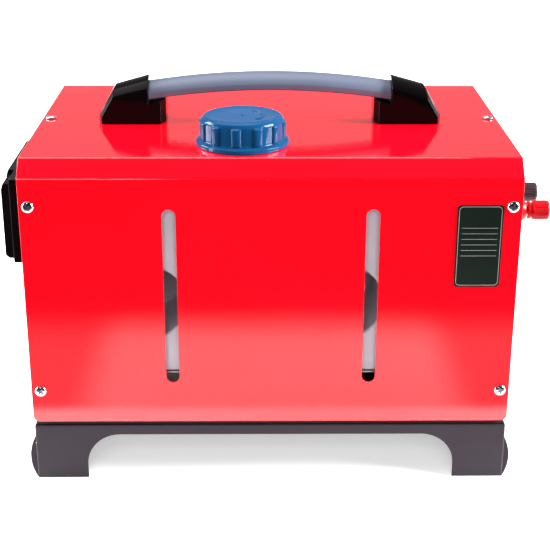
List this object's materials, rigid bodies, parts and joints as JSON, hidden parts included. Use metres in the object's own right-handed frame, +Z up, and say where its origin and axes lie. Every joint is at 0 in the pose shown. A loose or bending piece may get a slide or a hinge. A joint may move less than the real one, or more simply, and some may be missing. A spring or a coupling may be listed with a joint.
{
  "type": "diesel air heater",
  "caption": "Portable box heater with a fuel tank behind sight slots, screw filler cap, arched grip, side controller, warm-air outlet and terminals.",
  "frame": {"origin": "middle of the footprint, on the floor", "axes": "+X to the right along the width, +Y to the back, +Z up; the front panel faces -Y"},
  "size_m": [0.4352, 0.2652, 0.3159],
  "materials": {
    "red_paint": "glossy powder coat",
    "black_paint": "satin powder coat",
    "rating_plate": "satin film",
    "zinc": "bright zinc plate",
    "grip": "satin moulded",
    "black_plastic": "satin moulded",
    "tank_plastic": "milky blow-moulded",
    "filter_plastic": "moulded",
    "steel": "plain",
    "brass": "turned",
    "rubber": "matt",
    "cap_plastic": "glossy moulded",
    "cast_aluminium": "as cast",
    "board": "lacquered",
    "screen": "clear window",
    "button_plastic": "satin moulded",
    "red_plastic": "glossy moulded",
    "dark_plastic": "glossy moulded",
    "switch_plastic": "glossy moulded"
  },
  "bodies": {
    "root": {"back_screw_left": "zinc", "back_screw_right": "zinc", "base_tray": "black_paint", "black_terminal_base": "dark_plastic", "black_terminal_stud": "brass", "blower_motor": "steel", "burner": "steel", "combustion_housing": "cast_aluminium", "control_board": "board", "controller_housing": "black_plastic", "controller_screen": "screen", "exhaust_pipe": "steel", "front_screw_lower_left": "zinc", "front_screw_lower_right": "zinc", "front_screw_upper_left": "zinc", "front_screw_upper_right": "zinc", "fuel_filter": "filter_plastic", "fuel_pump": "steel", "fuel_tank": "tank_plastic", "glow_plug": "steel", "handle_end_left": "black_plastic", "handle_end_right": "black_plastic", "handle_grip": "grip", "heat_exchanger": "cast_aluminium", "heater_lower_shell": "black_plastic", "heater_upper_shell": "black_plastic", "hose_pump_to_burner": "rubber", "hose_tank_to_filter": "rubber", "inlet_guard": "black_plastic", "intake_pipe": "black_plastic", "mains_inlet": "black_plastic", "outer_cover": "red_paint", "outlet_ring": "black_plastic", "power_supply": "steel", "pump_clamp": "rubber", "rating_plate": "rating_plate", "red_terminal_base": "red_plastic", "red_terminal_stud": "brass", "side_panel_left": "red_paint", "side_panel_right": "red_paint", "supply_shelf": "steel", "tank_outlet": "brass", "tank_shelf": "steel", "top_screw_left": "zinc", "top_screw_right": "zinc"},
    "cap_carrier": {"cap_seal": "rubber"},
    "cap": {"fuel_cap": "cap_plastic"},
    "plunger": {"pump_plunger": "steel"},
    "fan_shaft": {"fan_wheel": "black_plastic", "combustion_impeller": "cast_aluminium"},
    "louver": {"outlet_louver": "black_plastic"},
    "rocker": {"mains_switch": "switch_plastic"},
    "red_ring": {"red_clamp_ring": "red_plastic"},
    "red_knob": {"red_terminal_knob": "red_plastic"},
    "black_ring": {"black_clamp_ring": "dark_plastic"},
    "black_knob": {"black_terminal_knob": "dark_plastic"},
    "button_1": {"controller_button_1": "button_plastic"},
    "button_2": {"controller_button_2": "button_plastic"},
    "button_3": {"controller_button_3": "button_plastic"},
    "button_4": {"controller_button_4": "button_plastic"}
  },
  "joints": [
    {"name": "cap_lift", "type": "slide", "parent": "root", "child": "cap_carrier", "axis": [0, 0, 1], "range_m": [0, 0.008]},
    {"name": "cap_turn", "type": "hinge", "parent": "cap_carrier", "child": "cap", "pos_m": [-0.02605, -0.075, 0.29], "axis": [0, 0, 1], "range_deg": [0, 750]},
    {"name": "red_ring_slide", "type": "slide", "parent": "root", "child": "red_ring", "axis": [1, 0, 0], "range_m": [0, 0.003]},
    {"name": "red_knob_turn", "type": "hinge", "parent": "red_ring", "child": "red_knob", "pos_m": [0.21135, -0.103, 0.227], "axis": [1, 0, 0], "range_deg": [0, 1140]},
    {"name": "black_ring_slide", "type": "slide", "parent": "root", "child": "black_ring", "axis": [1, 0, 0], "range_m": [0, 0.003]},
    {"name": "black_knob_turn", "type": "hinge", "parent": "black_ring", "child": "black_knob", "pos_m": [0.21135, -0.055, 0.227], "axis": [1, 0, 0], "range_deg": [0, 1140]},
    {"name": "button_1_press", "type": "slide", "parent": "root", "child": "button_1", "axis": [1, 0, 0], "range_m": [0, 0.001], "stiffness_N_per_m": 600, "springref_m": -0.0005},
    {"name": "button_2_press", "type": "slide", "parent": "root", "child": "button_2", "axis": [1, 0, 0], "range_m": [0, 0.001], "stiffness_N_per_m": 600, "springref_m": -0.0005},
    {"name": "button_3_press", "type": "slide", "parent": "root", "child": "button_3", "axis": [1, 0, 0], "range_m": [0, 0.001], "stiffness_N_per_m": 600, "springref_m": -0.0005},
    {"name": "button_4_press", "type": "slide", "parent": "root", "child": "button_4", "axis": [1, 0, 0], "range_m": [0, 0.001], "stiffness_N_per_m": 600, "springref_m": -0.0005},
    {"name": "rocker_tilt", "type": "hinge", "parent": "root", "child": "rocker", "pos_m": [0.13135, 0.128, 0.24], "axis": [-1, 0, 0], "range_deg": [0, 20]},
    {"name": "louver_turn", "type": "hinge", "parent": "root", "child": "louver", "pos_m": [-0.20365, 0.046, 0.125], "axis": [-1, 0, 0], "continuous": true},
    {"name": "fan_spin", "type": "hinge", "parent": "root", "child": "fan_shaft", "pos_m": [0.09635, 0.046, 0.125], "axis": [1, 0, 0], "continuous": true},
    {"name": "plunger_stroke", "type": "slide", "parent": "root", "child": "plunger", "axis": [1, 0, 0], "range_m": [0, 0.004], "stiffness_N_per_m": 500, "springref_m": -0.001}
  ],
  "couplings": [
    {"joint": "cap_turn", "follows": "cap_lift", "rad_per_m": 1570.8},
    {"joint": "red_knob_turn", "follows": "red_ring_slide", "rad_per_m": 6283.2},
    {"joint": "black_knob_turn", "follows": "black_ring_slide", "rad_per_m": 6283.2}
  ]
}
